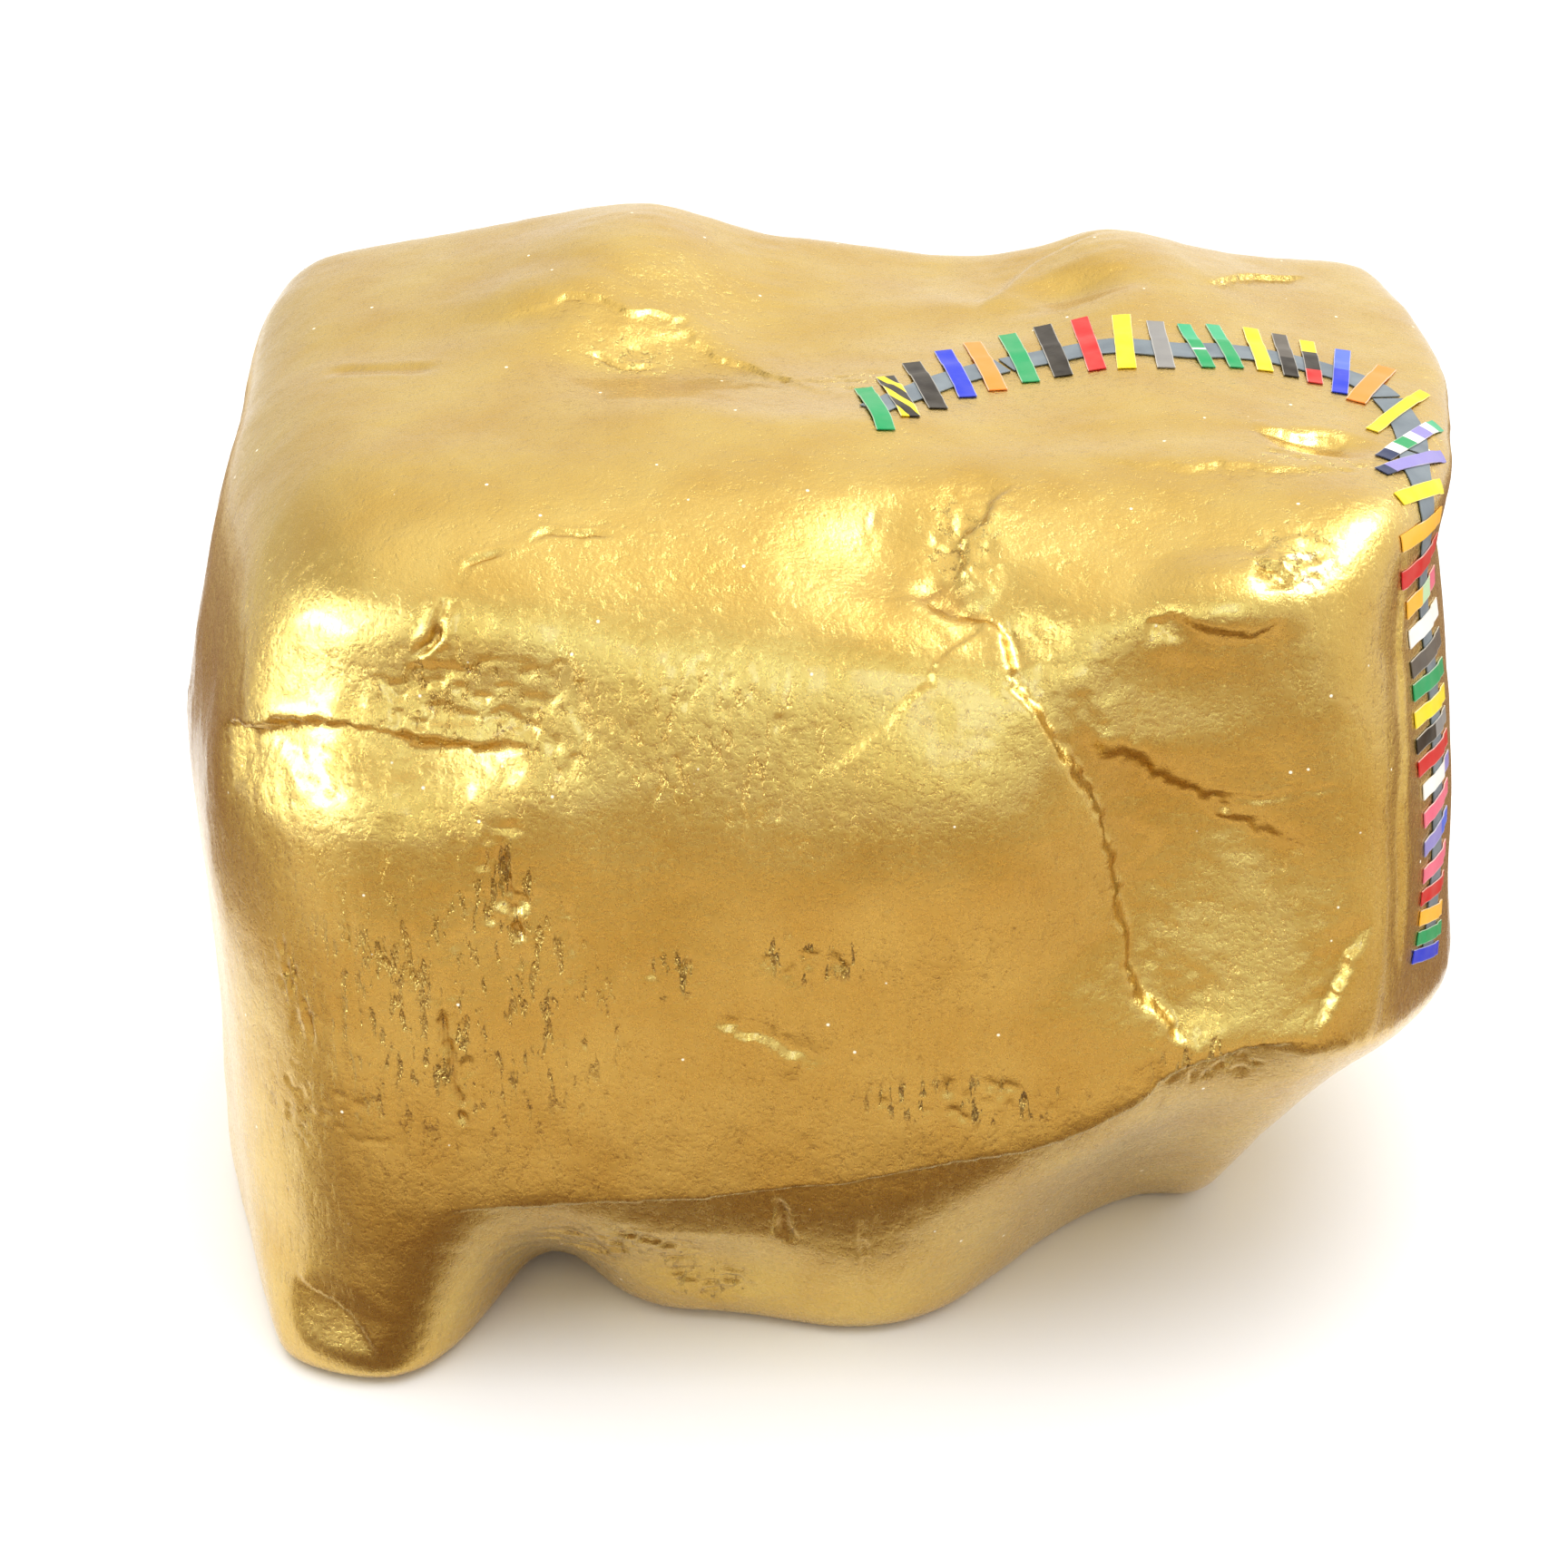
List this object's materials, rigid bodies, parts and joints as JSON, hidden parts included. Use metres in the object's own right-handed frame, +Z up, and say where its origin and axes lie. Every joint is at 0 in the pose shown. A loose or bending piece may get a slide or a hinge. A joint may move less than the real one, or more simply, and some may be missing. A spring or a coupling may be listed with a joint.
{
  "type": "gold-painted carved block",
  "caption": "Irregular hand-carved block painted metallic gold, with a line of grey tape and short coloured tape strips over its top and down one side.",
  "frame": {"origin": "middle of the part's box in X and Y, at the sawn resting face", "axes": "+Z up, front of the block towards -Y, the end with the tape towards +X"},
  "size_m": [0.24, 0.157, 0.176],
  "materials": {
    "gold": "uneven gold metallic paint brushed over a carved block",
    "grey_tape": "satin pressure-sensitive tape",
    "green": "satin coloured tape",
    "hazard": "satin tape with slanted black and yellow bands",
    "black": "satin black-brown tape",
    "blue": "satin coloured tape",
    "orange": "satin coloured tape",
    "red": "satin coloured tape",
    "yellow": "satin coloured tape",
    "grey": "satin light grey tape",
    "signal": "satin tape in bands of yellow, dark grey and red",
    "flag": "satin tape in narrow bands of navy, white, green and lilac",
    "lilac": "satin coloured tape",
    "amber": "satin coloured tape",
    "white": "satin white tape",
    "pink": "satin coloured tape"
  },
  "bodies": {
    "root": {"gold_block": "gold", "grey_tape_corner": "grey_tape", "grey_tape_side": "grey_tape", "grey_tape_top": "grey_tape", "grey_tape_top_left": "grey_tape", "strip_01_green": "green", "strip_02_hazard": "hazard", "strip_03_black": "black", "strip_04_blue": "blue", "strip_05_orange": "orange", "strip_06_green": "green", "strip_07_black": "black", "strip_08_red": "red", "strip_09_yellow": "yellow", "strip_10_grey": "grey", "strip_11_green": "green", "strip_12_green": "green", "strip_13_yellow": "yellow", "strip_14_black": "black", "strip_15_signal": "signal", "strip_16_blue": "blue", "strip_17_orange": "orange", "strip_18_yellow": "yellow", "strip_19_flag": "flag", "strip_20_lilac": "lilac", "strip_21_yellow": "yellow", "strip_22_amber": "amber", "strip_23_red": "red", "strip_24_signal": "signal", "strip_25_white": "white", "strip_26_black": "black", "strip_27_green": "green", "strip_28_yellow": "yellow", "strip_29_grey": "grey", "strip_30_red": "red", "strip_31_white": "white", "strip_32_pink": "pink", "strip_33_blue": "blue", "strip_34_pink": "pink", "strip_35_red": "red", "strip_36_amber": "amber", "strip_37_green": "green", "strip_38_blue": "blue"}
  },
  "joints": []
}
